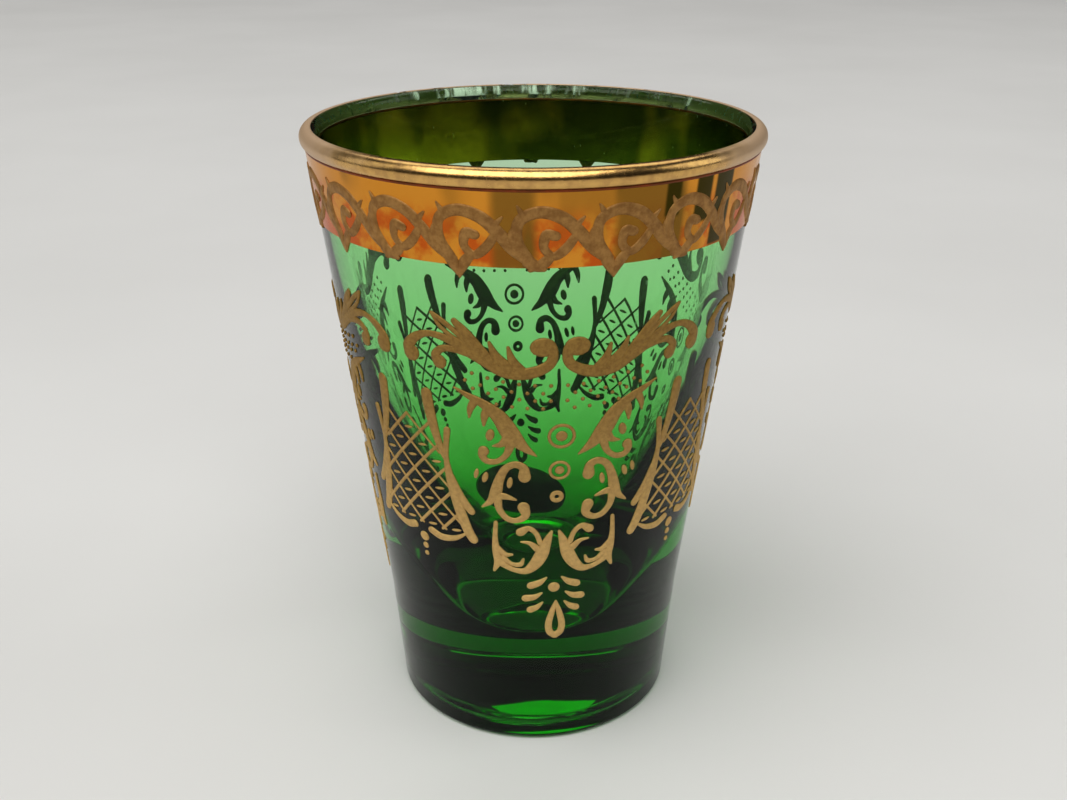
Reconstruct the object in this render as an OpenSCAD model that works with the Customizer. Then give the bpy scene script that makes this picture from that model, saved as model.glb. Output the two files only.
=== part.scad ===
// Souvenir shot glass with fired-on gilding, standing on its base.
// Origin at the centre of the resting face, +Z up through the mouth, -Y towards the viewer.

/* [Glass] */
// overall height to the top of the gilded lip
total_h = 63; // [60:0.5:66]
// outer radius of the wall where its straight line meets the table
wall_r0 = 14.53; // [14:0.01:15]
// outward lean of the wall, millimetres of radius per millimetre of height
wall_lean = 0.1229; // [0.11:0.0001:0.13]
// radius of the base where it meets the table
base_r = 15.05; // [14.9:0.01:15.2]
// height where the base flare meets the main wall
knee_z = 13.0; // [12:0.1:13.2]
// wall thickness just under the lip
wall_t = 1.37; // [1.3:0.01:1.45]
// thickness of the solid base under the cup
floor_z = 9.5; // [8.5:0.1:10.5]
// height where the funnel of the cup ends and its round bottom begins
join_z = 15.5; // [15:0.5:18]
// radius of the round edge bead at the mouth
bead_r = 0.86; // [0.8:0.01:0.9]
// depth of the shallow hollow under the base
punt_h = 0.9; // [0.5:0.1:1.2]

/* [Gilding] */
// thickness of the smooth burnished gold
gold_t = 0.08; // [0.06:0.01:0.1]
// thickness of the raised matt gold ornaments
relief_t = 0.14; // [0.12:0.01:0.18]
// lower edge of the gold band
band_z0 = 54.45; // [54:0.05:55]
// direction of the front ring column, degrees round from -Y towards +X
turn = 6.7; // [0:0.1:90]

/* [Lattice baskets] */
// height of the lowest lattice crossing
lat_z0 = 26.3; // [26:0.1:26.6]
// height from one crossing to the next above it
lat_dz = 3.03; // [2.9:0.01:3.1]
// degrees from one column of crossings to the next
lat_da = 4.45; // [4.3:0.01:4.6]

/* [Label] */
// centre height of the plain oval label on the back
label_z = 8; // [7.8:0.1:8.2]
// half width of the label
label_a = 10; // [8:0.1:10.4]
// half height of the label
label_b = 5.2; // [4:0.1:5.4]

/* [Hidden] */
$fn = 96;
label_az = 191;
label_tilt = 12;
label_t = 0.24;
scroll_count = 10;

// bead centre, crease under the bead, inside radius of the wall at the lip
bead_c = total_h - gold_t - bead_r;
wall_top = wall_r0 + wall_lean * bead_c;
bead_mid = wall_top - wall_t + bead_r;
crease_dz = sqrt(bead_r * bead_r - pow(wall_top - 0.08 - bead_mid, 2));
crease_z = bead_c - crease_dz;

// the wall swells downward, so the cup is a funnel that ends in a round bottom
function thick(z) = let (h = bead_c - z) wall_t + 0.042 * h + 1.15e-6 * pow(h, 4);
function bore(z) = wall(z) - thick(z);
join_r = bore(join_z);
join_lean = (bore(join_z + 0.5) - join_r) / 0.5;
deep = join_z - floor_z;
bowl = [
    [join_r, join_z],
    [join_r - join_lean * 0.6 * deep, join_z - 0.6 * deep],
    [0.6 * join_r, floor_z],
    [0, floor_z]
];
function bezier(p, t) = let (s = 1 - t)
    s * s * s * p[0] + 3 * s * s * t * p[1] + 3 * s * t * t * p[2] + t * t * t * p[3];

function wall(z) = wall_r0 + wall_lean * z;
knee_r = wall(knee_z);
foot_r = base_r + 0.06;
foot_z = 0.75;
function flare(z) = foot_r + (knee_r - foot_r) * (z - foot_z) / (knee_z - foot_z);

// an arc from angle a0 to a1 about c, in n steps
function arc(c, r, a0, a1, n) = oval(c, r, r, a0, a1, n);
// an arc with different radii across and up
function oval(c, a, b, a0, a1, n) = [
    for (i = [0 : n]) let (t = a0 + (a1 - a0) * i / n) c + [a * cos(t), b * sin(t)]
];

// smooth curve through the given points, which carry a half width as a third value
function blend(a, b, c, d, t) = 0.5 * (2 * b + (c - a) * t
    + (2 * a - 5 * b + 4 * c - d) * t * t + (3 * b - a - 3 * c + d) * t * t * t);
function curve(p, n) = let (m = len(p) - 1) [
    for (i = [0 : m - 1]) for (j = [0 : n - 1])
        blend(p[max(i - 1, 0)], p[i], p[i + 1], p[min(i + 2, m)], j / n),
    p[m]
];

// direction of the curve at point i, its edge on one side, and the round end of a brush stroke
function lean(p, i) = let (a = p[max(i - 1, 0)], b = p[min(i + 1, len(p) - 1)], d = [b[0] - a[0], b[1] - a[1]])
    d / norm(d);
function side(p, i, s) = let (t = lean(p, i)) [p[i][0] - s * t[1] * p[i][2], p[i][1] + s * t[0] * p[i][2]];
function tip(p, i, s) = let (t = s * lean(p, i), n = [-t[1], t[0]]) [
    for (a = [45, 0, -45]) [p[i][0], p[i][1]] + p[i][2] * (cos(a) * t + sin(a) * n)
];
function ribbon(p) = let (m = len(p) - 1) concat(
    [for (i = [0 : m]) side(p, i, 1)],
    tip(p, m, 1),
    [for (i = [m : -1 : 0]) side(p, i, -1)],
    tip(p, 0, -1)
);

// degrees and height on the wall to flat millimetres, seen square on from direction c
function flat(p, c) = [for (q = p) [wall(q[1]) * sin(q[0] - c), q[1], q[2]]];

// one brush stroke, one oval spot, one round dot, one ring, each as a flat shape
module stroke(p, c, n = 2) polygon(ribbon(curve(flat(p, c), n)));
module spot(a, z, rx, rz, c, lean = 0) translate([wall(z) * sin(a - c), z])
    rotate(lean) polygon(oval([0, 0], rx, rz, 0, 324, 9));
module dot(a, z, r, c) translate([wall(z) * sin(a - c), z]) circle(r = r);
module hoop(a, z, r, w) translate([wall(z) * sin(a), z]) difference() {
    circle(r = r + w);
    circle(r = r - w);
}

// carries a flat shape out through the wall in direction c, then to all four quarters, both hands
module outward(c) rotate([0, 0, c]) rotate([90, 0, 0]) translate([0, 0, 11])
    linear_extrude(height = 13) children();
module quarters() for (k = [0 : 3]) rotate([0, 0, turn + 90 * k]) children();
module both() {
    children();
    mirror([1, 0, 0]) children();
}

// a skin on the wall between two heights and two distances off the glass
module skin(z0, z1, t0, t1) rotate_extrude() polygon([
    [wall(z0) + t0, z0],
    [wall(z0) + t1, z0],
    [wall(z1) + t1, z1],
    [wall(z1) + t0, z1]
]);

// Strokes below are lists of points [degrees round the wall, height, half width].
// swag: volute, stem and outer arc ending in a fat drop, the inner curl, then leaf fingers off the stem
swag = [
    [[5.4, 46.9, 0.75], [4.4, 47.2, 0.65], [2.1, 46.8, 0.5], [2.2, 45.5, 0.5], [5, 44.7, 0.55],
     [9.5, 44.3, 0.6], [14.5, 44.5, 0.58], [19.5, 45.5, 0.55], [24, 46.4, 0.55], [28.5, 47.2, 0.42],
     [33.5, 47.5, 0.32], [37.6, 47, 0.45], [40.4, 46, 0.65], [40, 45.2, 0.88]],
    [[23, 46, 0.35], [27, 46.3, 0.35], [30.4, 46.2, 0.36], [32.4, 45.5, 0.48], [31.5, 44.8, 0.7]],
    [[10, 44.6, 0.55], [12, 45.6, 0.42], [13, 46.9, 0.16]],
    [[13.5, 44.9, 0.6], [16.2, 46, 0.45], [17.7, 47.3, 0.16]],
    [[18, 45.6, 0.5], [21.5, 46.9, 0.62], [24, 48.1, 0.52], [26.4, 49.1, 0.3]],
    [[22.5, 46.8, 0.3], [26.5, 48.1, 0.26], [29.8, 49, 0.26], [32.4, 49.6, 0.2]],
    [[24.5, 46.9, 0.25], [28, 47.7, 0.22], [30.6, 48.5, 0.2], [32.4, 49.5, 0.14]]
];

// acanthus leaf: one fat blade, its fingers and spur, and the curl below it
leaf = [
    [[6, 35.75, 0.1], [9.5, 36.7, 0.5], [13, 38.1, 0.88], [16, 39.8, 0.75], [20, 41, 0.48],
     [24, 41.7, 0.32], [28, 42.4, 0.1]],
    [[18.6, 40.7, 0.5], [19.9, 39.8, 0.4], [20.3, 38.8, 0.14]],
    [[22.4, 41.3, 0.45], [23.8, 40.4, 0.34], [24.3, 39.5, 0.12]],
    [[13.6, 37.6, 0.6], [15.6, 36.9, 0.34], [18, 36.65, 0.1]],
    [[12.9, 37.1, 0.5], [14.3, 35.8, 0.34], [17, 35, 0.3], [20, 34.95, 0.34], [21.2, 35.5, 0.42],
     [20.8, 36, 0.55]]
];

// scroll like a C, its lower curl and its inner spur
c_scroll = [
    [[9.3, 33.4, 0.62], [9.6, 34.4, 0.45], [12, 34.75, 0.37], [14.8, 34.2, 0.4], [16.7, 32.9, 0.48],
     [17.8, 31.6, 0.58], [19.4, 30.5, 0.4], [22.2, 29.7, 0.12]],
    [[17.4, 30.8, 0.45], [17, 29.6, 0.36], [14.8, 28.6, 0.33], [11.8, 28.4, 0.32], [9.2, 29, 0.42],
     [9.7, 29.95, 0.6]],
    [[17.4, 31.1, 0.42], [15, 31.1, 0.34], [12, 30.8, 0.13]]
];

// double scroll like a W: inner blade, thorn, top curl, spur and two hooks
w_scroll = [
    [[1.2, 27.1, 0.16], [2.5, 26, 0.44], [4.2, 24.4, 0.68], [6.3, 23.2, 0.62], [9.1, 22.4, 0.42],
     [12.3, 22.4, 0.3], [15.3, 22.8, 0.33], [17.6, 23.4, 0.5]],
    [[18.3, 28, 0.22], [18.8, 26.1, 0.28], [18.6, 24.7, 0.42], [18.2, 23.4, 0.42], [19.5, 22.25, 0.18]],
    [[4.7, 25.8, 0.28], [5.9, 26.9, 0.27], [8.2, 27.5, 0.3], [10.7, 27.05, 0.48]],
    [[5.6, 25.1, 0.4], [7.9, 25.75, 0.24], [10.6, 25.9, 0.1]],
    [[10, 23.8, 0.14], [11, 23.15, 0.27], [13.8, 23.2, 0.22], [16.4, 23.9, 0.3]],
    [[13.6, 24.3, 0.14], [15.7, 24.3, 0.27], [18.2, 25, 0.32]]
];

// pendant: three petals, used on both sides, and the two sides of the hollow teardrop
petals = [
    [[2.6, 21.5, 0.12], [4.9, 20.9, 0.36], [7.6, 20.55, 0.42]],
    [[4.1, 19.6, 0.12], [6.6, 19.1, 0.34], [9.4, 18.95, 0.42]],
    [[3.8, 18.4, 0.12], [5.8, 17.8, 0.32], [7.8, 17.5, 0.4]]
];
tear = [
    [[0.8, 18.5, 0.14], [2, 17.2, 0.3], [3.1, 15.7, 0.36], [2.7, 14.6, 0.37], [0.8, 14.1, 0.4]],
    [[0.8, 18.5, 0.14], [-0.4, 17.2, 0.3], [-1.5, 15.7, 0.36], [-1.1, 14.6, 0.37], [0.8, 14.1, 0.4]]
];

// basket frame: long leaf, its branch, the upright club and the rim below
frame = [
    [[31.4, 37.7, 0.36], [32.2, 36, 0.3], [32.6, 34.3, 0.3], [31.8, 32, 0.5], [29.8, 28.9, 0.58],
     [27.6, 26.6, 0.55], [26, 25.6, 0.5]],
    [[31.4, 32.6, 0.3], [29.2, 30.8, 0.34], [27.2, 29.5, 0.42], [25.9, 28.9, 0.4]],
    [[36.8, 41.2, 0.62], [36.4, 39.4, 0.6], [35.2, 37, 0.46], [33.6, 35.1, 0.34], [32.5, 34.2, 0.2]],
    [[28.4, 26.1, 0.14], [32.5, 25.3, 0.3], [37.5, 25, 0.4], [41.4, 25.4, 0.42]]
];

// half width in degrees of the basket opening at a height, used to trim the lattice
function mouth(z) = 7.6 + 0.75 * (38.4 - z);
lat_m = lat_dz / 2 / lat_da;
lat_top = lat_z0 + 4 * lat_dz;
// a lattice bar climbing one way (h = 1 or -1), crossing the basket's middle at height z
function bar_end(z, h) = let (s = mouth(z) / (1 + 0.75 * lat_m * h))
    min(s, h > 0 ? (lat_top - z) / lat_m : (z - lat_z0 + 0.2) / lat_m);
module bar(z, w, h) {
    right = bar_end(z, 1);
    left = bar_end(z, -1);
    a = [wall(z + lat_m * right) * sin(h * right), z + lat_m * right];
    b = [-wall(z - lat_m * left) * sin(h * left), z - lat_m * left];
    n = [b[1] - a[1], a[0] - b[0]] / norm(b - a) * w;
    if (right + left > 2) polygon([a + n, b + n, b - n, a - n]);
}

// running scroll of the band, and the two ways its root ends: in a long pointed tip or a short one
scroll = [
    [[-1.6, 54.9, 0.6], [-4.2, 56.8, 0.5], [-3.8, 58.6, 0.5], [0.5, 59.4, 0.55], [5.5, 58.9, 0.6],
     [9.4, 57.6, 0.6], [12.6, 56.2, 0.6], [16.2, 55.1, 0.5]],
    [[9.4, 57.7, 0.35], [6.6, 56.2, 0.45], [3.8, 55.5, 0.4], [1.6, 56.3, 0.4], [2.2, 57.4, 0.5],
     [4.2, 57.3, 0.45]],
    [[-2.6, 58.9, 0.4], [-4.2, 59.9, 0.12]],
    [[8.2, 58, 0.4], [10.4, 58.9, 0.13]],
    [[12.4, 56.3, 0.45], [12.6, 57.6, 0.3], [14.2, 58.5, 0.12]]
];
long_tip = [
    [[-1.8, 55, 0.6], [-0.8, 54.3, 0.5], [0.1, 53.4, 0.12]],
    [[2.8, 55.4, 0.45], [1.2, 54.6, 0.5], [0.1, 53.4, 0.12]]
];
short_tip = [
    [[-1.8, 55, 0.6], [0, 54.6, 0.5], [1.6, 54.4, 0.3]],
    [[3, 55.4, 0.45], [1.6, 54.9, 0.5], [-1.4, 54.3, 0.25]]
];

module glass_tumbler() color([0.42, 0.75, 0.42]) rotate_extrude() polygon(concat(
    [[0, punt_h]],
    arc([0, punt_h - 60], 60, 90, 90 - 8.4, 4),
    arc([10.2, 0.3], 0.3, 180, 270, 3),
    arc([foot_r - 0.7, 0.7], 0.7, 270, 360, 6),
    [[foot_r, foot_z]],
    [[knee_r, knee_z], [wall(crease_z), crease_z]],
    arc([bead_mid, bead_c], bead_r, -53.8, 180, 16),
    [for (i = [1 : 11]) let (z = bead_c + (join_z - bead_c) * i / 12) [bore(z), z]],
    [for (i = [0 : 14]) bezier(bowl, i / 14)]
));

module lip_gilding() color([0.86, 0.62, 0.28]) rotate_extrude() polygon(concat(
    arc([bead_mid, bead_c], bead_r + gold_t, -50, 104, 14),
    arc([bead_mid, bead_c], bead_r, 104, -50, 14)
));

module crease_line() color([0.45, 0.17, 0.08]) rotate_extrude() polygon([
    [wall(crease_z - 0.2), crease_z - 0.2],
    [wall(crease_z - 0.2) + gold_t + 0.04, crease_z - 0.2],
    [wall(crease_z) + 0.16, crease_z],
    [wall(crease_z), crease_z]
]);

module gold_band() color([0.80, 0.50, 0.16]) skin(band_z0, crease_z - 0.2, 0, gold_t);

module band_scrollwork() color([0.66, 0.50, 0.32]) intersection() {
    union() {
        skin(53, band_z0, 0, gold_t + relief_t);
        skin(band_z0, crease_z - 0.4, gold_t, gold_t + relief_t);
    }
    for (k = [0 : scroll_count - 1]) rotate([0, 0, turn + 12 + 360 / scroll_count * k]) {
        outward(6) for (p = concat(scroll, long_tip)) stroke(p, 6);
        rotate([0, 0, 180 / scroll_count]) outward(6) for (p = concat(scroll, short_tip)) stroke(p, 6);
    }
}

module swag_scrolls() color([0.76, 0.55, 0.33]) intersection() {
    skin(43, 51, 0, relief_t);
    quarters() both() outward(21) {
        for (p = swag) stroke(p, 21);
        spot(4.3, 46.95, 1.2, 0.95, 21);
    }
}

// four staggered rows that keep clear of the leaf below them
module stipple_dots() color([0.76, 0.55, 0.33]) intersection() {
    skin(40, 45, 0, relief_t);
    quarters() both() outward(14) for (i = [0 : 3]) for (j = [0 : 5]) {
        a = 2.2 + 4.1 * j + 2 * (i % 2);
        z = 43.1 - 0.78 * i + 0.04 * j * j;
        if (z > max(40.6, min(33.85 + 0.4 * a, 39.25 + 0.13 * a))) dot(a, z, 0.2, 14);
    }
}

module acanthus_leaves() color([0.76, 0.55, 0.33]) intersection() {
    skin(34, 43, 0, relief_t);
    quarters() both() outward(16) {
        for (p = leaf) stroke(p, 16);
        spot(18.7, 37.8, 0.42, 0.66, 16, 12);
    }
}

// three rings one above the other, printed a little off the axis of the quarter
module ring_columns() color([0.76, 0.55, 0.33]) intersection() {
    skin(29, 40, 0, relief_t);
    quarters() outward(0) {
        hoop(1, 37.8, 1.16, 0.16);
        dot(1, 37.8, 0.56, 0);
        hoop(0.7, 34.1, 0.9, 0.15);
        dot(0.7, 34.1, 0.46, 0);
        hoop(0.1, 31.15, 0.44, 0.24);
    }
}

module c_scrolls() color([0.76, 0.55, 0.33]) intersection() {
    skin(27, 36, 0, relief_t);
    quarters() both() outward(15) {
        for (p = c_scroll) stroke(p, 15);
        spot(13.6, 32.7, 0.28, 0.64, 15, 8);
        spot(20.8, 33.1, 0.3, 0.62, 15, 16);
        spot(23.4, 33.4, 0.25, 0.58, 15, 10);
    }
}

module w_scrolls() color([0.76, 0.55, 0.33]) intersection() {
    skin(21, 29, 0, relief_t);
    quarters() both() outward(10) for (p = w_scroll) stroke(p, 10);
}

module pendants() color([0.76, 0.55, 0.33]) intersection() {
    skin(knee_z, 22.5, 0, relief_t);
    quarters() {
        outward(0) {
            dot(0, 20.3, 0.6, 0);
            for (p = tear) stroke(p, 0);
        }
        both() outward(6) for (p = petals) stroke(p, 6);
    }
}

module basket_frames() color([0.76, 0.55, 0.33]) intersection() {
    skin(24, 43, 0, relief_t);
    quarters() both() outward(33) for (p = frame) stroke(p, 33);
}

module basket_lattice() color([0.72, 0.54, 0.34]) intersection() {
    skin(25, 40, 0, relief_t - 0.03);
    quarters() rotate([0, 0, 45]) outward(0) for (i = [-3 : 7]) {
        bar(lat_z0 + lat_dz * i, 0.17, 1);
        bar(lat_z0 + lat_dz * i, 0.13, -1);
    }
}

module basket_seeds() color([0.72, 0.54, 0.34]) intersection() {
    skin(25, 40, 0, relief_t - 0.03);
    quarters() rotate([0, 0, 45]) outward(0) for (i = [-3 : 3]) for (j = [0 : 4]) {
        z = lat_z0 + lat_dz * (j + (abs(i) % 2 == 0 ? 0.5 : 0));
        if (abs(i) * lat_da < mouth(z) - 1.8 && z < 37.5 && z > 26) spot(lat_da * i, z, 0.55, 0.15, 0, 8);
    }
}

module basket_drops() color([0.72, 0.54, 0.34]) intersection() {
    skin(21, 26, 0, relief_t);
    quarters() rotate([0, 0, 45]) outward(0) {
        dot(0, 24.3, 0.56, 0);
        dot(0, 23.2, 0.36, 0);
        dot(0, 22.25, 0.28, 0);
    }
}

module oval_label() color([0.16, 0.22, 0.16]) intersection() {
    rotate_extrude() polygon([
        [flare(1.5), 1.5],
        [flare(1.5) + label_t, 1.5],
        [knee_r + label_t, knee_z],
        [wall(16) + label_t, 16],
        [wall(16), 16],
        [knee_r, knee_z]
    ]);
    outward(label_az) translate([0, label_z]) rotate(label_tilt)
        polygon(oval([0, 0], label_a, label_b, 0, 352.5, 47));
}

glass_tumbler();
lip_gilding();
crease_line();
gold_band();
band_scrollwork();
swag_scrolls();
stipple_dots();
acanthus_leaves();
ring_columns();
c_scrolls();
w_scrolls();
pendants();
basket_frames();
basket_lattice();
basket_seeds();
basket_drops();
oval_label();
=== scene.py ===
"""Souvenir shot glass: green glass tumbler with a gilded lip, a bright gold band and raised matt gold
ornaments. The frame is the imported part: metres, +Z up, origin at the centre of the resting face, -Y towards
the viewer."""
import math
import bmesh
import bpy
import numpy as np
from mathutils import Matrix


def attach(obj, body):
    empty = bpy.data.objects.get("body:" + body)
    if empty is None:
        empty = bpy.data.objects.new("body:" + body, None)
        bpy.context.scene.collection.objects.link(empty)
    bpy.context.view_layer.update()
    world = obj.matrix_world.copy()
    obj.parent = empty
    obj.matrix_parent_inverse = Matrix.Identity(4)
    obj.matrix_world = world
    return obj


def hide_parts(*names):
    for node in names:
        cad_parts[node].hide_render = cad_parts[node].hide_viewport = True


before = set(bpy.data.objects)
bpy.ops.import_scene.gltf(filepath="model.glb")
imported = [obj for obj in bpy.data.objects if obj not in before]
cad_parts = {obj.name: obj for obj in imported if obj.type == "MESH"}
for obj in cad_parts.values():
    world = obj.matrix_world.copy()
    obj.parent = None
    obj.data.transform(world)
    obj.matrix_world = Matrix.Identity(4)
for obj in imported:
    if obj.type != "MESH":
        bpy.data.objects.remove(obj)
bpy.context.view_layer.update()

# --------------------------------------------------------------------------------------------------
# Glass tumbler. One piece of green pressed glass with a thick solid base, a shallow hollow under it, and a
# round bead melted round the mouth. Everything else on the object is fired or stuck on to its outer wall.
# Sizes in mm: height, gold skin, wall line, knee and foot of the wall, wall at the lip, hollow's depth, bead.
MM = 0.001
HEIGHT, GOLD = 63.0, 0.08
WALL_R0, WALL_LEAN = 14.53, 0.1229
KNEE_Z, FOOT_R, FOOT_Z = 13.0, 15.11, 0.75
WALL_T, PUNT = 1.37, 0.9
BEAD_R, CREASE_IN = 0.86, 0.08
SIDES = 224
BEAD_Z = HEIGHT - GOLD - BEAD_R


def wall(z):
    """Outer radius of the wall in mm at height z mm: a straight line leaning outward."""
    return WALL_R0 + WALL_LEAN * z


BEAD_MID = wall(BEAD_Z) - WALL_T + BEAD_R
CREASE_Z = BEAD_Z - math.sqrt(BEAD_R ** 2 - (wall(BEAD_Z) - CREASE_IN - BEAD_MID) ** 2)


def arc(r, z, a, b, start, end, n):
    """n + 1 points (r + a cos t, z + b sin t) for t from start to end degrees."""
    t = np.radians(np.linspace(start, end, n + 1))
    return np.stack([r + a * np.cos(t), z + b * np.sin(t)], 1)


def line(r0, z0, r1, z1, n):
    """n points from (r0, z0) towards (r1, z1), the last left out."""
    t = np.arange(n)[:, None] / n
    return np.array([[r0, z0]]) * (1 - t) + np.array([[r1, z1]]) * t


def make_mesh(name, verts, faces, values=None):
    """A smooth-shaded mesh object at the origin from points in mm; values holds point attributes by name."""
    mesh = bpy.data.meshes.new(name)
    mesh.from_pydata(verts * MM, [], faces)
    mesh.update()
    for key, val in (values or {}).items():
        layer = mesh.attributes.new(key, "FLOAT", "POINT")
        layer.data.foreach_set("value", np.ascontiguousarray(val, np.float32))
    work = bmesh.new()
    work.from_mesh(mesh)
    bmesh.ops.recalc_face_normals(work, faces=work.faces)
    work.to_mesh(mesh)
    work.free()
    mesh.polygons.foreach_set("use_smooth", np.ones(len(mesh.polygons), bool))
    piece = bpy.data.objects.new(name, mesh)
    bpy.context.collection.objects.link(piece)
    return piece


def lathe(name, profile, sides, closed_loop):
    """Point (r, z) of the profile turned to (r cos t, r sin t, z) for sides values of t. A closed loop joins
    its last point to its first; an open one starts and ends on the axis, where its turned points become one."""
    t = np.arange(sides) * 2 * np.pi / sides
    inner = profile if closed_loop else profile[1:-1]
    r, z = inner[:, 0][:, None], inner[:, 1][:, None]
    grid = np.stack([r * np.cos(t), r * np.sin(t), z + 0 * t], -1).reshape(-1, 3)
    rows = len(inner)
    a = np.arange(rows if closed_loop else rows - 1)[:, None]
    j = np.arange(sides)[None, :]
    b, k = (a + 1) % rows, (j + 1) % sides
    quads = np.stack([a * sides + j, a * sides + k, b * sides + k, b * sides + j], -1).reshape(-1, 4).tolist()
    if not closed_loop:
        low, high = len(grid), len(grid) + 1
        grid = np.vstack([grid, [[0, 0, profile[0, 1]], [0, 0, profile[-1, 1]]]])
        j, k = np.arange(sides), (np.arange(sides) + 1) % sides
        last = (rows - 1) * sides
        quads += np.stack([k, j, j * 0 + low], 1).tolist()
        quads += np.stack([last + j, last + k, j * 0 + high], 1).tolist()
    return make_mesh(name, grid, quads)


class Ink:
    """A shader socket that works in Python sums: each operator adds the Math node that does it."""

    def __init__(self, tree, out):
        self.tree, self.out = tree, out

    def node(self, kind, inputs=None, out=0, **settings):
        """Adds a node of this kind, sets its settings first and then its inputs, and returns one output."""
        made = self.tree.nodes.new("ShaderNode" + kind)
        for key, val in settings.items():
            setattr(made, key, val)
        for key, val in (inputs or {}).items():
            if isinstance(val, Ink):
                self.tree.links.new(val.out, made.inputs[key])
            else:
                made.inputs[key].default_value = val
        return Ink(self.tree, made.outputs[out])

    def math(self, op, a, b=0.0):
        return self.node("Math", {0: a, 1: b}, operation=op)

    def __add__(self, o): return self.math("ADD", self, o)
    def __radd__(self, o): return self.math("ADD", o, self)
    def __sub__(self, o): return self.math("SUBTRACT", self, o)
    def __rsub__(self, o): return self.math("SUBTRACT", o, self)
    def __mul__(self, o): return self.math("MULTIPLY", self, o)
    def __rmul__(self, o): return self.math("MULTIPLY", o, self)
    def __pow__(self, o): return self.math("POWER", self, o)

    def step(self, low, high):
        """0 below low, 1 above high, smooth between."""
        return self.node("MapRange", {0: self, 1: low, 2: high}, interpolation_type="SMOOTHSTEP")

    def mix(self, a, b):
        """Colour a where this is 0, colour b where it is 1."""
        pick = [v if isinstance(v, Ink) else (*v, 1) for v in (a, b)]
        return self.node("Mix", {0: self, 6: pick[0], 7: pick[1]}, out=2, data_type="RGBA")


class Finish:
    """A new material: its Principled shader, its Object coordinates in mm, and noise and attribute helpers."""

    def __init__(self, name):
        self.material = bpy.data.materials.new(name)
        self.material.use_nodes = True
        self.tree = self.material.node_tree
        self.shader = self.tree.nodes["Principled BSDF"]
        self.pen = Ink(self.tree, None)
        place = self.pen.node("TexCoord", out="Object")
        self.mm = self.pen.node("VectorMath", {0: place, "Scale": 1000.0}, operation="SCALE")

    def axis(self, which):
        return self.pen.node("SeparateXYZ", {0: self.mm}, out=which)

    def noise(self, scale, detail=3.0, rough=0.55, stretch=(1, 1, 1), shift=(0, 0, 0)):
        """Noise with scale features per mm, 0 to 1 with its middle near 0.5."""
        at = self.pen.node("Mapping", {"Vector": self.mm, "Scale": stretch, "Location": shift})
        return self.pen.node("TexNoise", {"Vector": at, "Scale": scale, "Detail": detail, "Roughness": rough})

    def value(self, attribute):
        return self.pen.node("Attribute", out="Fac", attribute_name=attribute)

    def set(self, **inputs):
        for key, val in inputs.items():
            socket = self.shader.inputs[key.replace("_", " ")]
            if isinstance(val, Ink):
                self.tree.links.new(val.out, socket)
            else:
                socket.default_value = (*val, 1) if isinstance(val, tuple) else val

    def bump(self, height, depth_mm):
        """Bump of the given height field, depth in mm."""
        self.set(Normal=self.pen.node("Bump", {"Height": height, "Distance": depth_mm * MM, "Strength": 1.0}))


def thick(z):
    """Thickness of the wall at height z; it swells downward, so the cup is a funnel."""
    h = BEAD_Z - z
    return WALL_T + 0.042 * h + 1.15e-6 * h ** 4


# The round end of the funnel is one cubic curve that leaves the funnel at JOIN_Z and meets the axis level at
# FLOOR_Z. Its two middle points lie PULL of the way along its ends' tangents.
PULL = 0.6
JOIN_Z, FLOOR_Z, BORE_TOP = 15.5, 9.5, 61.5
bore_z = np.linspace(BORE_TOP, JOIN_Z, 40)
bore_r = wall(bore_z) - thick(bore_z)
join_r = bore_r[-1]
lean = (join_r - bore_r[-2]) / (bore_z[-2] - JOIN_Z)
drop = PULL * (JOIN_Z - FLOOR_Z)
ends = np.array([[join_r, JOIN_Z], [join_r + lean * drop, JOIN_Z - drop],
                 [PULL * join_r, FLOOR_Z], [0, FLOOR_Z]])
t = np.linspace(0, 1, 27)[1:, None]
bowl = ((1 - t) ** 3 * ends[0] + 3 * (1 - t) ** 2 * t * ends[1] + 3 * (1 - t) * t ** 2 * ends[2]
        + t ** 3 * ends[3])
# Under the base: the hollow out to PUNT_R, the round inner edge of the resting ring, and the edge of the foot.
PUNT_R, RING_R, RING_EDGE, FOOT_EDGE = 8.6, 10.2, 0.3, 0.7
glass_profile = np.vstack([
    [[0, PUNT]], line(1.2, PUNT - 0.012, PUNT_R, PUNT - 0.6, 8),
    arc(RING_R, RING_EDGE, RING_EDGE, RING_EDGE, 180, 270, 5),
    line(RING_R + RING_EDGE, 0, FOOT_R - FOOT_EDGE, 0, 4),
    arc(FOOT_R - FOOT_EDGE, FOOT_EDGE, FOOT_EDGE, FOOT_EDGE, 270, 359, 10),
    line(FOOT_R, FOOT_Z, wall(KNEE_Z), KNEE_Z, 10), line(wall(KNEE_Z), KNEE_Z, wall(CREASE_Z), CREASE_Z, 48),
    arc(BEAD_MID, BEAD_Z, BEAD_R, BEAD_R, -52, 178, 30), np.stack([bore_r, bore_z], 1), bowl])
glass = lathe("tumbler", glass_profile, SIDES, False)

clear = Finish("green_glass")
scuffed = clear.noise(0.35, 4, 0.6).step(0.66, 0.74) * clear.noise(2.2, 3, 0.7).step(0.52, 0.62)
chipped = clear.axis(2).step(61.6, 62.4) * clear.noise(1.1, 3, 0.7).step(0.56, 0.62)
streaked = clear.noise(1.0, 3, 0.6, (2.2, 2.2, 0.22)).step(0.69, 0.72) * clear.axis(2).step(50, 57)
clear.set(Base_Color=(1.0, 1.0, 1.0), Transmission_Weight=1.0, IOR=1.52, Specular_Tint=(0.38, 0.40, 0.38),
          Roughness=0.012 + scuffed * 0.2 + chipped * 0.45 + streaked * 0.3)
clear.bump(clear.noise(0.09, 1, 0.4) + clear.noise(0.6, 2, 0.4) * 0.04, 0.05)
tint = clear.tree.nodes.new("ShaderNodeVolumeAbsorption")
tint.inputs["Color"].default_value = (0.40, 0.885, 0.375, 1)
tint.inputs["Density"].default_value = 400.0
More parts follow.
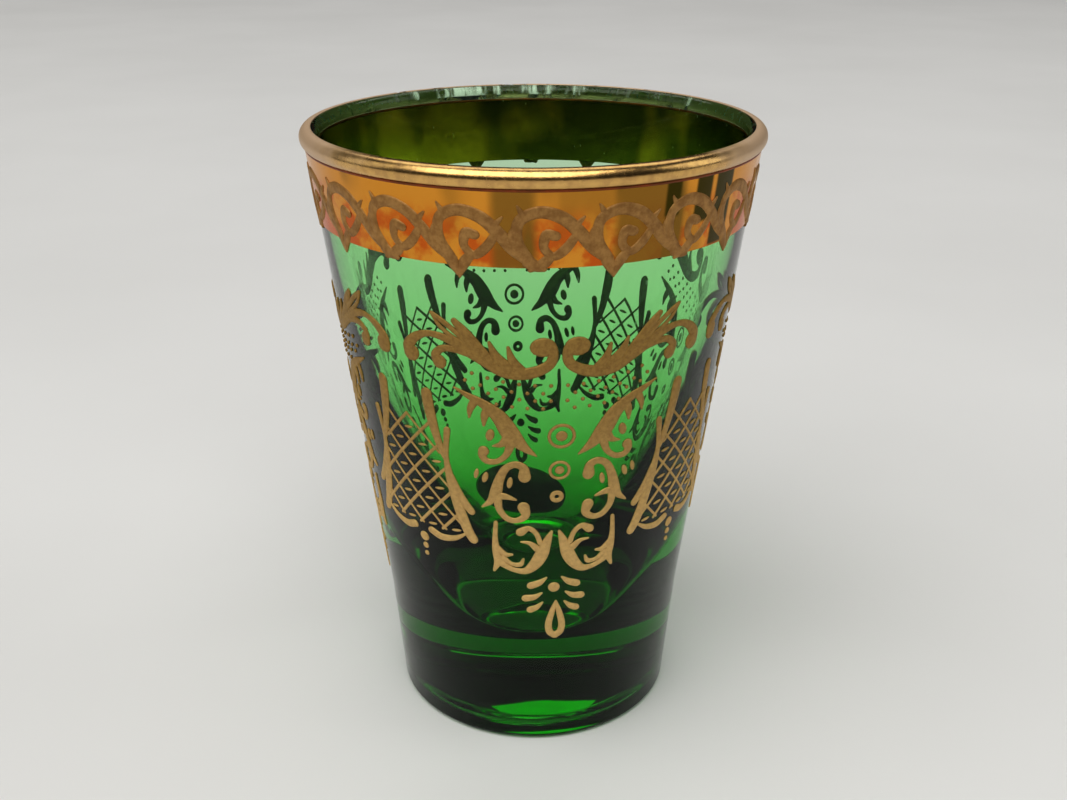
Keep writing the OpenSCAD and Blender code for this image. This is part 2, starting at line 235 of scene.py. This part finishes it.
clear.tree.links.new(tint.outputs[0], clear.tree.nodes["Material Output"].inputs["Volume"])
glass.data.materials.append(clear.material)
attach(glass, "root")
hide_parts("glass_tumbler")

# --------------------------------------------------------------------------------------------------
# Gold on the lip. Liquid bright gold, brushed over the bead while the glass turned and fired on. It is
# burnished, and rubbed through to the glass where mouths and cloths have worn it.
SINK = 0.03


def turned_skin(name, outside, inside):
    """A thin closed shell between two profiles, turned round the axis."""
    return lathe(name, np.vstack([outside, inside[::-1]]), SIDES, True)


LIP_FROM, LIP_TO = -50, 104
lip = turned_skin("lip_gold", arc(BEAD_MID, BEAD_Z, BEAD_R + GOLD, BEAD_R + GOLD, LIP_FROM, LIP_TO, 24),
                  arc(BEAD_MID, BEAD_Z, BEAD_R - SINK, BEAD_R - SINK, LIP_FROM, LIP_TO, 24))
bright = Finish("bright_gold")
fine = bright.noise(1.1, 4, 0.6)
# Worn through in flecks on the far side. Mirror gold in front, towards the camera; at the sides a painted
# reflection: a pale pinkish satin colour, less metallic and rougher, that stands in for what the sides of the
# bead reflect.
worn = (bright.axis(1) * 0.012 + bright.noise(0.45, 4, 0.65)).step(0.69, 0.86)
front_mirror_mask = (bright.axis(1) * -1.0 + bright.noise(0.3, 2) * 6.0).step(14, 21)
sheen = fine.step(0.35, 0.7).mix((0.70, 0.44, 0.16), (0.54, 0.33, 0.13))
bright.set(Base_Color=front_mirror_mask.mix((0.62, 0.44, 0.28), sheen), Metallic=0.45 + front_mirror_mask * 0.55,
           Roughness=0.38 - front_mirror_mask * 0.2 + bright.noise(2.5, 3, 0.6) * 0.14, Alpha=1.0 - worn)
bright.bump(bright.noise(3.0, 3, 0.6), 0.01)
lip.data.materials.append(bright.material)
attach(lip, "root")
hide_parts("lip_gilding")

# A dark red-brown ring in the crease under the bead: painted shade, the redder and darker look the gold takes
# in the crease from its own reflections, drawn as a thin ring of dark gold.
CREASE_T, CREASE_LOW = 0.15, CREASE_Z - 0.22
heights = np.array([CREASE_LOW, CREASE_Z - 0.1, CREASE_Z])
ends = np.array([CREASE_LOW, CREASE_Z])
crease = turned_skin("crease_line", np.stack([wall(heights) + [GOLD + 0.04, CREASE_T, CREASE_T], heights], 1),
                     np.stack([wall(ends) - SINK, ends], 1))
crease_shade = Finish("crease_gold")
crease_shade.set(Base_Color=crease_shade.noise(0.6, 3).step(0.3, 0.7).mix((0.30, 0.07, 0.02), (0.20, 0.06, 0.02)),
           Metallic=0.7, Roughness=0.42 + crease_shade.noise(3.0, 2) * 0.1)
crease.data.materials.append(crease_shade.material)
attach(crease, "root")
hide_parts("crease_line")

# --------------------------------------------------------------------------------------------------
# Gold band. A wide belt of liquid bright gold under the lip: a mirror with an orange cast, thinner and redder
# in patches, with random brown patches, and painted reflections: upright brown and dark patches that stand in
# for dark things beside the glass that the band reflects.
BAND_Z, BAND_TOP = 54.45, CREASE_Z - 0.2
heights = np.concatenate([[BAND_Z, BAND_Z + 0.02], np.linspace(BAND_Z + 0.04, BAND_TOP - 0.04, 7),
                          [BAND_TOP - 0.02, BAND_TOP]])
band = turned_skin("gold_band", np.stack([wall(heights) + GOLD, heights], 1),
                   np.stack([wall(heights) - SINK, heights], 1))
back = np.repeat(np.repeat([0.0, 1.0], len(heights)), SIDES)
band.data.attributes.new("back", "FLOAT", "POINT").data.foreach_set("value", back.astype(np.float32))
mirror = Finish("band_gold")
thin = mirror.noise(0.34, 3, 0.6)
low = mirror.axis(2).step(60.5, 57.5)
flush = (thin.step(0.40, 0.58) * low).mix((0.70, 0.31, 0.045), (0.58, 0.13, 0.02))
# Painted reflections of dark things beside the glass: two upright brown patches in front (middle and half width
# in degrees), and three dark patches on the right (middle, half width, lower end).
DARK_REFLECTIONS = ((-4.5, 4.6), (27.0, 8.5))
DARK_REFLECTION_PATCHES = ((32.6, 2.0, 57.9), (42.0, 2.6, 56.8), (49.6, 3.4, 54.3))
turned = mirror.pen.math("ARCTAN2", mirror.axis(0), -1.0 * mirror.axis(1)) * (180 / math.pi)
wear_and_reflection = mirror.noise(0.16, 2, 0.5, (1, 1, 0.3)).step(0.56, 0.66) * 0.5
for deg, half in DARK_REFLECTIONS:
    wear_and_reflection = wear_and_reflection + ((turned - deg) ** 2.0).step((half + 1.5) ** 2, (half - 1.5) ** 2) * 0.85
band_wear_reflection_colour = wear_and_reflection.mix(flush, (0.24, 0.13, 0.025))
dark_reflected = 0.0
for deg, half, foot in DARK_REFLECTION_PATCHES:
    upright = ((turned - deg) ** 2.0).step((half + 0.5) ** 2, (half - 0.5) ** 2)
    dark_reflected = dark_reflected + upright * mirror.axis(2).step(foot, foot + 0.5)
band_face_colour = dark_reflected.mix(band_wear_reflection_colour, (0.06, 0.045, 0.006))
seen_inside = mirror.noise(0.13, 2, 0.5, (1, 1, 0.5), (7, 0, 0)).step(0.38, 0.56)
inner = seen_inside.mix((0.90, 0.46, 0.06), (0.24, 0.17, 0.035))
mirror.set(Base_Color=mirror.value("back").mix(band_face_colour, inner), Metallic=1.0,
           Roughness=0.14 + mirror.noise(1.4, 4, 0.6) * 0.14)
mirror.bump(mirror.noise(0.22, 2, 0.4) + mirror.noise(2.5, 3, 0.5) * 0.03, 0.06)
band.data.materials.append(mirror.material)
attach(band, "root")
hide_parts("gold_band")

# --------------------------------------------------------------------------------------------------
# Raised matt gold ornaments. Paste printed on the wall in separate islands and fired, so each stroke stands a
# little proud with soft round edges. One quarter of the pattern repeats four times, each mirrored on its axis.
RELIEF, TURN = 0.14, 6.7
SECTION_V = np.array([-1, -0.97, -0.62, 0, 0.62, 0.97, 1])
SECTION_H = np.array([-1, 0.45, 0.9, 1, 0.9, 0.45, -1])


def on_wall(x, z, lift):
    """Flat (x, z) mm wrapped on the wall: angle x / wall(z) from -Y towards +X, lift mm off the glass."""
    r = wall(z)
    return np.stack([(r + lift) * np.sin(x / r), -(r + lift) * np.cos(x / r), z + 0 * x], -1)


def curve(points, n):
    """Smooth curve (Catmull-Rom) through (degrees, z, half width) points, as flat (x mm, z mm, half width)."""
    p = np.array(points, float)
    p[:, 0] = np.radians(p[:, 0]) * wall(p[:, 1])
    p = np.vstack([2 * p[0] - p[1], p, 2 * p[-1] - p[-2]])
    t = (np.arange(n) / n)[None, :, None]
    a, b, c, d = (p[i:len(p) - 3 + i, None] for i in range(4))
    bend, twist = 2 * a - 5 * b + 4 * c - d, 3 * b - a - 3 * c + d
    body = 0.5 * (2 * b + (c - a) * t + bend * t ** 2 + twist * t ** 3)
    return np.vstack([body.reshape(-1, 3), p[-2]])


def stroke(points, n=6, tall=1.0):
    """A brush stroke: at each curve point a domed section of the point's half width stands across the path,
    and the ends close in three more sections that narrow as cos a while they run on as sin a. Returns points,
    faces, and 1 for each point of the side that touches the glass."""
    c = curve(points, n)
    t = np.gradient(c[:, :2], axis=0)
    t /= np.linalg.norm(t, axis=1)[:, None]
    w = np.maximum(c[:, 2], 0.03)
    a = np.radians([86, 60, 30])
    head = c[0, :2] - t[0] * (w[0] * np.sin(a))[:, None]
    tail = c[-1, :2] + t[-1] * (w[-1] * np.sin(a[::-1]))[:, None]
    mid = np.vstack([head, c[:, :2], tail])
    across = np.vstack([np.repeat(t[:1], 3, 0), t, np.repeat(t[-1:], 3, 0)])[:, ::-1] * [-1, 1]
    w = np.concatenate([w[0] * np.cos(a), w, w[-1] * np.cos(a[::-1])])
    high = np.minimum(1, 0.55 + w / 0.5) * tall
    flat = mid[:, None] + across[:, None] * (w[:, None] * SECTION_V)[..., None]
    lift = np.where(SECTION_H < 0, -SINK, RELIEF * SECTION_H * high[:, None])
    return solid(flat, lift, False)


def solid(flat, lift, ring):
    """A closed skin from rows of section points; ring joins the last row to the first, else both are capped."""
    rows, k = lift.shape
    verts = on_wall(flat[..., 0], flat[..., 1], lift).reshape(-1, 3)
    i, j = np.arange(rows if ring else rows - 1)[:, None], np.arange(k)[None, :]
    i2, j2 = (i + 1) % rows, (j + 1) % k
    quads = np.stack([i * k + j, i * k + j2, i2 * k + j2, i2 * k + j], -1).reshape(-1, 4).tolist()
    if not ring:
        quads += [list(range(k)), list(range(len(verts) - k, len(verts)))[::-1]]
    back = np.tile((SECTION_H < 0).astype(float), rows)
    return verts, quads, back


def ring_faces(rings, sides):
    """Faces of a skin of nested rings, and of a fan at each end to a pole; the poles come after the rings."""
    i, j = np.arange(rings - 1)[:, None], np.arange(sides)[None, :]
    k = (j + 1) % sides
    faces = np.stack([i * sides + j, i * sides + k, (i + 1) * sides + k, (i + 1) * sides + j], -1)
    j, k, last = np.arange(sides), (np.arange(sides) + 1) % sides, (rings - 1) * sides
    first_fan = np.stack([k, j, j * 0 + rings * sides], 1)
    last_fan = np.stack([last + j, last + k, j * 0 + rings * sides + 1], 1)
    return faces.reshape(-1, 4).tolist() + first_fan.tolist() + last_fan.tolist()


def hoop(deg, z, r, w):
    """A flat ring: the domed section carried round a circle of radius r about (deg, z)."""
    t = np.linspace(0, 2 * np.pi, 33)[:-1]
    out = np.stack([np.cos(t), np.sin(t)], 1)
    flat = np.array([np.radians(deg) * wall(z), z]) + out[:, None] * (r + w * SECTION_V)[None, :, None]
    return solid(flat, np.tile(np.where(SECTION_H < 0, -SINK, RELIEF * SECTION_H), (32, 1)), True)


def blob(deg, z, rx, rz, lean=0.0, sides=16):
    """A domed oval spot of half sizes rx and rz turned by lean degrees: rings at 0.35 to 1 of its size on top,
    one at 0.5 below, and two poles."""
    t = np.arange(sides) * 2 * np.pi / sides
    size = np.array([0.35, 0.75, 0.97, 1.0, 0.5])
    lift = np.array([1, 0.86, 0.45, -1, -1])
    u, v = size[:, None] * rx * np.cos(t), size[:, None] * rz * np.sin(t)
    c, s = math.cos(math.radians(lean)), math.sin(math.radians(lean))
    x, y = np.radians(deg) * wall(z) + u * c - v * s, z + u * s + v * c
    h = np.where(lift < 0, -SINK, RELIEF * lift)[:, None] + 0 * t
    verts = on_wall(x, y, h).reshape(-1, 3)
    poles = on_wall(np.radians(deg) * wall(z) + np.zeros(2), np.array([z, z]), np.array([RELIEF, -SINK]))
    back = np.append(np.repeat((lift < 0).astype(float), sides), [0, 1])
    return np.vstack([verts, poles]), ring_faces(len(size), sides), back


def repeat(name, parts, turns, mirrored, finish, node):
    """Joins the parts and copies them round the axis to each of the turns in degrees, each time also as a
    mirror image if mirrored is set."""
    verts = np.vstack([p[0] for p in parts])
    starts = np.cumsum([0] + [len(p[0]) for p in parts[:-1]])
    faces = [[s + i for i in f] for s, p in zip(starts, parts) for f in p[1]]
    back = np.concatenate([p[2] for p in parts])
    hands = [verts] + ([verts * [-1, 1, 1]] if mirrored else [])
    every, all_faces, count = [], [], 0
    for deg in turns:
        c, s = math.cos(math.radians(deg)), math.sin(math.radians(deg))
        for hand in hands:
            every.append(hand @ np.array([[c, s, 0], [-s, c, 0], [0, 0, 1]]))
            all_faces += [[count + i for i in f] for f in faces]
            count += len(verts)
    piece = make_mesh(name, np.vstack(every), all_faces, {"back": np.tile(back, len(every))})
    piece.data.materials.append(finish.material)
    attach(piece, "root")
    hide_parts(node)
    return piece


QUARTERS = [TURN + 90 * k for k in range(4)]
BASKETS = [TURN + 45 + 90 * k for k in range(4)]

# Satin gold: browner and darker high on the wall, paler low, a painted reflection gradient that stands in for
# the darker surroundings the higher strokes reflect; dull brown where it is seen through glass.
matt = Finish("matt_gold")
painted_reflection_up = matt.axis(2).step(20, 46)
grain = matt.noise(2.6, 4, 0.65)
face = painted_reflection_up.mix(grain.step(0.3, 0.75).mix((0.74, 0.51, 0.21), (0.58, 0.38, 0.15)),
              grain.step(0.3, 0.75).mix((0.39, 0.24, 0.064), (0.26, 0.15, 0.04)))
matt.set(Base_Color=matt.value("back").step(0.4, 0.9).mix(face, (0.16, 0.12, 0.05)),
         Metallic=0.55, Roughness=0.5 + matt.noise(4.0, 3, 0.6) * 0.2)
matt.bump(matt.noise(5.0, 4, 0.7), 0.03)

# Swag: volute, stem and outer arc ending in a fat drop, the inner curl, and leaf fingers off the stem.
swag = [
    [[5.4, 46.9, 0.75], [4.4, 47.2, 0.65], [2.1, 46.8, 0.5], [2.2, 45.5, 0.5], [5, 44.7, 0.55],
     [9.5, 44.3, 0.6], [14.5, 44.5, 0.58], [19.5, 45.5, 0.55], [24, 46.4, 0.55], [28.5, 47.2, 0.42],
     [33.5, 47.5, 0.32], [37.6, 47, 0.45], [40.4, 46, 0.65], [40, 45.2, 0.88]],
    [[23, 46, 0.35], [27, 46.3, 0.35], [30.4, 46.2, 0.36], [32.4, 45.5, 0.48], [31.5, 44.8, 0.7]],
    [[10, 44.6, 0.55], [12, 45.6, 0.42], [13, 46.9, 0.16]],
    [[13.5, 44.9, 0.6], [16.2, 46, 0.45], [17.7, 47.3, 0.16]],
    [[18, 45.6, 0.5], [21.5, 46.9, 0.62], [24, 48.1, 0.52], [26.4, 49.1, 0.3]],
    [[22.5, 46.8, 0.3], [26.5, 48.1, 0.26], [29.8, 49, 0.26], [32.4, 49.6, 0.2]],
    [[24.5, 46.9, 0.25], [28, 47.7, 0.22], [30.6, 48.5, 0.2], [32.4, 49.5, 0.14]],
]
repeat("swag_scrolls", [stroke(s) for s in swag] + [blob(4.3, 46.95, 1.2, 0.95)], QUARTERS, True, matt,
       "swag_scrolls")

# Stipple: small dots in four staggered rows that fill the space between the swag and the leaf.
row, col = np.meshgrid(np.arange(4), np.arange(6), indexing="ij")
deg, high = 2.2 + 4.1 * col + 2.0 * (row % 2), 43.1 - 0.78 * row + 0.04 * col ** 2
clear_of_leaf = high > np.maximum(40.6, np.minimum(33.85 + 0.4 * deg, 39.25 + 0.13 * deg))
DOT_R = 0.2
dots = [blob(a, z, DOT_R, DOT_R, sides=8) for a, z in zip(deg[clear_of_leaf], high[clear_of_leaf])]
repeat("stipple_dots", dots, QUARTERS, True, matt, "stipple_dots")

# Acanthus leaf: one fat blade, its fingers and spur, the curl below it and the drop beside it.
leaf = [
    [[6, 35.75, 0.1], [9.5, 36.7, 0.5], [13, 38.1, 0.88], [16, 39.8, 0.75], [20, 41, 0.48], [24, 41.7, 0.32],
     [28, 42.4, 0.1]],
    [[18.6, 40.7, 0.5], [19.9, 39.8, 0.4], [20.3, 38.8, 0.14]],
    [[22.4, 41.3, 0.45], [23.8, 40.4, 0.34], [24.3, 39.5, 0.12]],
    [[13.6, 37.6, 0.6], [15.6, 36.9, 0.34], [18, 36.65, 0.1]],
    [[12.9, 37.1, 0.5], [14.3, 35.8, 0.34], [17, 35, 0.3], [20, 34.95, 0.34], [21.2, 35.5, 0.42],
     [20.8, 36, 0.55]],
]
repeat("acanthus_leaves", [stroke(s) for s in leaf] + [blob(18.7, 37.8, 0.42, 0.66, 12)], QUARTERS, True, matt,
       "acanthus_leaves")

# Ring column: three rings one above the other, smaller downward, the upper two with a dot; printed a little
# off the axis of the quarter.
repeat("ring_columns", [hoop(1.0, 37.8, 1.16, 0.16), blob(1.0, 37.8, 0.56, 0.56), hoop(0.7, 34.1, 0.9, 0.15),
                        blob(0.7, 34.1, 0.46, 0.46), hoop(0.1, 31.15, 0.44, 0.24)],
       QUARTERS, False, matt, "ring_columns")

# C scroll with its spur, the drop inside it and two dashes outside it.
c_scroll = [
    [[9.3, 33.4, 0.62], [9.6, 34.4, 0.45], [12, 34.75, 0.37], [14.8, 34.2, 0.4], [16.7, 32.9, 0.48],
     [17.8, 31.6, 0.58], [19.4, 30.5, 0.4], [22.2, 29.7, 0.12]],
    [[17.4, 30.8, 0.45], [17, 29.6, 0.36], [14.8, 28.6, 0.33], [11.8, 28.4, 0.32], [9.2, 29, 0.42],
     [9.7, 29.95, 0.6]],
    [[17.4, 31.1, 0.42], [15, 31.1, 0.34], [12, 30.8, 0.13]],
]
c_dashes = [blob(13.6, 32.7, 0.28, 0.64, 8), blob(20.8, 33.1, 0.3, 0.62, 16), blob(23.4, 33.4, 0.25, 0.58, 10)]
repeat("c_scrolls", [stroke(s) for s in c_scroll] + c_dashes, QUARTERS, True, matt, "c_scrolls")

# W scroll: a blade curving into a thorn, a curl on top, a spur and two hooks.
w_scroll = [
    [[1.2, 27.1, 0.16], [2.5, 26, 0.44], [4.2, 24.4, 0.68], [6.3, 23.2, 0.62], [9.1, 22.4, 0.42],
     [12.3, 22.4, 0.3], [15.3, 22.8, 0.33], [17.6, 23.4, 0.5]],
    [[18.3, 28, 0.22], [18.8, 26.1, 0.28], [18.6, 24.7, 0.42], [18.2, 23.4, 0.42], [19.5, 22.25, 0.18]],
    [[4.7, 25.8, 0.28], [5.9, 26.9, 0.27], [8.2, 27.5, 0.3], [10.7, 27.05, 0.48]],
    [[5.6, 25.1, 0.4], [7.9, 25.75, 0.24], [10.6, 25.9, 0.1]],
    [[10, 23.8, 0.14], [11, 23.15, 0.27], [13.8, 23.2, 0.22], [16.4, 23.9, 0.3]],
    [[13.6, 24.3, 0.14], [15.7, 24.3, 0.27], [18.2, 25, 0.32]],
]
repeat("w_scrolls", [stroke(s) for s in w_scroll], QUARTERS, True, matt, "w_scrolls")

# Pendant: a dot, three petals a side and the two sides of a hollow teardrop.
petals = [[[2.6, 21.5, 0.12], [4.9, 20.9, 0.36], [7.6, 20.55, 0.42]],
          [[4.1, 19.6, 0.12], [6.6, 19.1, 0.34], [9.4, 18.95, 0.42]],
          [[3.8, 18.4, 0.12], [5.8, 17.8, 0.32], [7.8, 17.5, 0.4]]]
petals += [[[-a, z, w] for a, z, w in p] for p in petals]
tear = [[[0.8, 18.5, 0.14], [2, 17.2, 0.3], [3.1, 15.7, 0.36], [2.7, 14.6, 0.37], [0.8, 14.1, 0.4]],
        [[0.8, 18.5, 0.14], [-0.4, 17.2, 0.3], [-1.5, 15.7, 0.36], [-1.1, 14.6, 0.37], [0.8, 14.1, 0.4]]]
repeat("pendants", [stroke(s) for s in petals + tear] + [blob(0, 20.3, 0.6, 0.6)], QUARTERS, False, matt,
       "pendants")

# Lattice basket: leaf-shaped frame with a branch and an upright club on each side and a rim below.
frame_parts = [
    [[31.4, 37.7, 0.36], [32.2, 36, 0.3], [32.6, 34.3, 0.3], [31.8, 32, 0.5], [29.8, 28.9, 0.58],
     [27.6, 26.6, 0.55], [26, 25.6, 0.5]],
    [[31.4, 32.6, 0.3], [29.2, 30.8, 0.34], [27.2, 29.5, 0.42], [25.9, 28.9, 0.4]],
    [[36.8, 41.2, 0.62], [36.4, 39.4, 0.6], [35.2, 37, 0.46], [33.6, 35.1, 0.34], [32.5, 34.2, 0.2]],
    [[28.4, 26.1, 0.14], [32.5, 25.3, 0.3], [37.5, 25, 0.4], [41.4, 25.4, 0.42]],
]
repeat("basket_frames", [stroke(s) for s in frame_parts], QUARTERS, True, matt, "basket_frames")

# Its lattice: thin bars crossing both ways inside the frame, and a seed in every opening. LAT_Z is the lowest
# crossing, LAT_DZ the rise to the next one above it and LAT_DA the degrees to the next column of crossings.
LAT_Z, LAT_DZ, LAT_DA = 26.3, 3.03, 4.45
LAT_M, LAT_TOP = LAT_DZ / 2 / LAT_DA, LAT_Z + 4 * LAT_DZ


def mouth(z):
    """Half width of the basket in degrees at height z."""
    return 7.6 + 0.75 * (38.4 - z)


def bar_end(z, way):
    """Degrees from the basket's middle to the end of a bar that crosses the middle at height z."""
    side = mouth(z) / (1 + 0.75 * LAT_M * way)
    return min(side, (LAT_TOP - z) / LAT_M if way > 0 else (z - LAT_Z + 0.2) / LAT_M)


bars = []
for i in range(-3, 8):
    z = LAT_Z + LAT_DZ * i
    right, left = bar_end(z, 1), bar_end(z, -1)
    if right + left > 2:
        for hand, width in ((1, 0.17), (-1, 0.13)):
            ends = np.linspace(right, -left, 6)
            bars.append(stroke([[hand * s, z + LAT_M * s, width] for s in ends], 2, 0.8))
repeat("basket_lattice", bars, BASKETS, False, matt, "basket_lattice")
seeds = []
for i in range(-3, 4):
    for j in range(5):
        z = LAT_Z + LAT_DZ * (j + (0.5 if i % 2 == 0 else 0))
        if abs(i) * LAT_DA < mouth(z) - 1.8 and 26 < z < 37.5:
            seeds.append(blob(LAT_DA * i, z, 0.55, 0.15, 8, 10))
repeat("basket_seeds", seeds, BASKETS, False, matt, "basket_seeds")
repeat("basket_drops", [blob(0, 24.3, 0.56, 0.56), blob(0, 23.2, 0.36, 0.36), blob(0, 22.25, 0.28, 0.28)],
       BASKETS, False, matt, "basket_drops")

# --------------------------------------------------------------------------------------------------
# Scrollwork on the band. Matt brown-gold paste printed over the bright gold: a running scroll whose pointed
# tips hang below the band on to the bare glass.
scroll = [
    [[-1.6, 54.9, 0.6], [-4.2, 56.8, 0.5], [-3.8, 58.6, 0.5], [0.5, 59.4, 0.55], [5.5, 58.9, 0.6],
     [9.4, 57.6, 0.6], [12.6, 56.2, 0.6], [16.2, 55.1, 0.5]],
    [[9.4, 57.7, 0.35], [6.6, 56.2, 0.45], [3.8, 55.5, 0.4], [1.6, 56.3, 0.4], [2.2, 57.4, 0.5],
     [4.2, 57.3, 0.45]],
    [[-2.6, 58.9, 0.4], [-4.2, 59.9, 0.12]],
    [[8.2, 58, 0.4], [10.4, 58.9, 0.13]],
    [[12.4, 56.3, 0.45], [12.6, 57.6, 0.3], [14.2, 58.5, 0.12]],
]
long_tip = [[[-1.8, 55, 0.6], [-0.8, 54.3, 0.5], [0.1, 53.4, 0.12]],
            [[2.8, 55.4, 0.45], [1.2, 54.6, 0.5], [0.1, 53.4, 0.12]]]
short_tip = [[[-1.8, 55, 0.6], [0, 54.6, 0.5], [1.6, 54.4, 0.3]],
             [[3, 55.4, 0.45], [1.6, 54.9, 0.5], [-1.4, 54.3, 0.25]]]
SCROLLS, SCROLL_START = 10, 12
SCROLL_STEP = 360 // SCROLLS
# From here strokes stand on the gold band: their foot 0.02 off the glass and their crown 0.2.
RELIEF, SINK = 0.2, -0.02
brown = Finish("scroll_gold")
rub = brown.noise(1.3, 4, 0.65)
brown.set(Base_Color=rub.step(0.3, 0.7).mix((0.45, 0.25, 0.08), (0.29, 0.145, 0.04)), Metallic=0.6,
          Roughness=0.46 + brown.noise(4.0, 3) * 0.2)
brown.bump(brown.noise(4.0, 4, 0.7), 0.03)
strokes = [stroke(s) for s in scroll + long_tip]
other = [stroke([[a + SCROLL_STEP // 2, z, w] for a, z, w in s]) for s in scroll + short_tip]
scroll_turns = [TURN + SCROLL_START + SCROLL_STEP * k for k in range(SCROLLS)]
repeat("band_scrollwork", strokes + other, scroll_turns, False, brown, "band_scrollwork")

# --------------------------------------------------------------------------------------------------
# Plain oval label, a thin dark paper sticker pressed on the back of the wall near the base, blank.
LABEL_AZ, LABEL_TILT = 191.0, 12.0
LABEL_Z, LABEL_A, LABEL_B, LABEL_T = 8.0, 10.0, 5.2, 0.24


def outer(z):
    """Outer radius at height z, with the slightly steeper foot below the knee."""
    return np.where(z > KNEE_Z, wall(z), FOOT_R + (wall(KNEE_Z) - FOOT_R) * (z - FOOT_Z) / (KNEE_Z - FOOT_Z))


t = np.arange(72) * 2 * np.pi / 72
size = np.array([0.25, 0.5, 0.75, 0.97, 1.0, 1.0, 0.75, 0.5, 0.25])
out = np.array([1, 1, 1, 1, 0.7, -0.1, -0.1, -0.1, -0.1]) * LABEL_T
u, v = size[:, None] * LABEL_A * np.cos(t), size[:, None] * LABEL_B * np.sin(t)
c, s = math.cos(math.radians(LABEL_TILT)), math.sin(math.radians(LABEL_TILT))
flat_x, flat_z = u * c - v * s, LABEL_Z + u * s + v * c
middle = math.radians(LABEL_AZ)
# Rings of the oval wrapped on the wall: arcsin(x / r) round from the middle, and each ring's own way out.
around = middle + np.arcsin(flat_x / outer(flat_z))
r = outer(flat_z) + out[:, None]
label_v = np.stack([r * np.sin(around), -r * np.cos(around), flat_z], -1).reshape(-1, 3)
rc = outer(LABEL_Z) + np.array([1, -0.1]) * LABEL_T
poles = np.stack([rc * math.sin(middle), -rc * math.cos(middle), [LABEL_Z] * 2], 1)
label_v, label_f = np.vstack([label_v, poles]), ring_faces(len(size), len(t))
label = make_mesh("oval_label", label_v, label_f)
paper = Finish("label_paper")
paper.set(Base_Color=paper.noise(1.5, 4).step(0.3, 0.7).mix((0.02, 0.075, 0.045), (0.03, 0.10, 0.06)),
          Roughness=0.55 + paper.noise(3, 3) * 0.15)
paper.bump(paper.noise(6.0, 4, 0.7), 0.02)
label.data.materials.append(paper.material)
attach(label, "root")
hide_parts("oval_label")

# --------------------------------------------------------------------------------------------------
# Studio: a pale sweep of table, soft light from above, and the camera.
TABLE_X, TABLE_FRONT, TABLE_BACK, TABLE_Z = 3, -2, 4, -0.00003
mesh = bpy.data.meshes.new("table_top")
mesh.from_pydata([(-TABLE_X, TABLE_FRONT, TABLE_Z), (TABLE_X, TABLE_FRONT, TABLE_Z),
                  (TABLE_X, TABLE_BACK, TABLE_Z), (-TABLE_X, TABLE_BACK, TABLE_Z)], [], [(0, 1, 2, 3)])
table_top = bpy.data.objects.new("table_top", mesh)
bpy.context.collection.objects.link(table_top)
laminate = Finish("pale_table")
laminate.set(Base_Color=laminate.noise(0.01, 3).step(0.2, 0.8).mix((0.68, 0.67, 0.645), (0.72, 0.71, 0.685)),
             Roughness=0.55)
mesh.materials.append(laminate.material)

world = bpy.data.worlds.new("soft_room")
bpy.context.scene.world = world
world.use_nodes = True
world.node_tree.nodes["Background"].inputs[0].default_value = (0.80, 0.82, 0.86, 1)
world.node_tree.nodes["Background"].inputs[1].default_value = 0.02


def soft_box(name, place, size, power, colour=(1, 1, 1), aim=(0, 0, 0.03)):
    """A rectangular area light of this size at place, facing aim; metres and watts."""
    data = bpy.data.lights.new(name, "AREA")
    data.shape, data.size, data.size_y, data.energy, data.color = "RECTANGLE", *size, power, colour
    lamp = bpy.data.objects.new(name, data)
    bpy.context.collection.objects.link(lamp)
    back = np.array(place, float) - aim
    lamp.location = place
    lamp.rotation_euler = (math.atan2(math.hypot(back[0], back[1]), back[2]), 0, math.atan2(back[0], -back[1]))


soft_box("ceiling", (-0.4, -1.0, 2.2), (3.2, 2.4), 63.0, (1, 1, 1), (0, 0.35, 0.03))
soft_box("ceiling_back", (0.0, 1.7, 2.4), (3.0, 1.6), 19.0, (1, 1, 1), (0, 0.9, 0.03))
soft_box("window_left", (-0.9, 0.0, 0.5), (0.5, 0.7), 0.8, (0.95, 0.98, 1.0))
soft_box("window_right", (0.9, 0.0, 0.5), (0.5, 0.7), 1.3, (0.95, 0.98, 1.0))

# The camera looks down at the glass from its own height and a little more.
TILT_DOWN, ROLL = 0.4136, -0.0015
camera_data = bpy.data.cameras.new("camera")
camera_data.sensor_width, camera_data.lens, camera_data.shift_x = 36.0, 39.81, -0.0016
camera_data.clip_start, camera_data.clip_end = 0.005, 20
camera = bpy.data.objects.new("camera", camera_data)
bpy.context.collection.objects.link(camera)
camera.location = (0, -0.1163, 0.0841)
camera.rotation_euler = (math.pi / 2 - TILT_DOWN, 0, ROLL)
bpy.context.scene.camera = camera
bpy.context.scene.view_settings.view_transform = "Standard"
bpy.context.scene.view_settings.look = "Medium High Contrast"
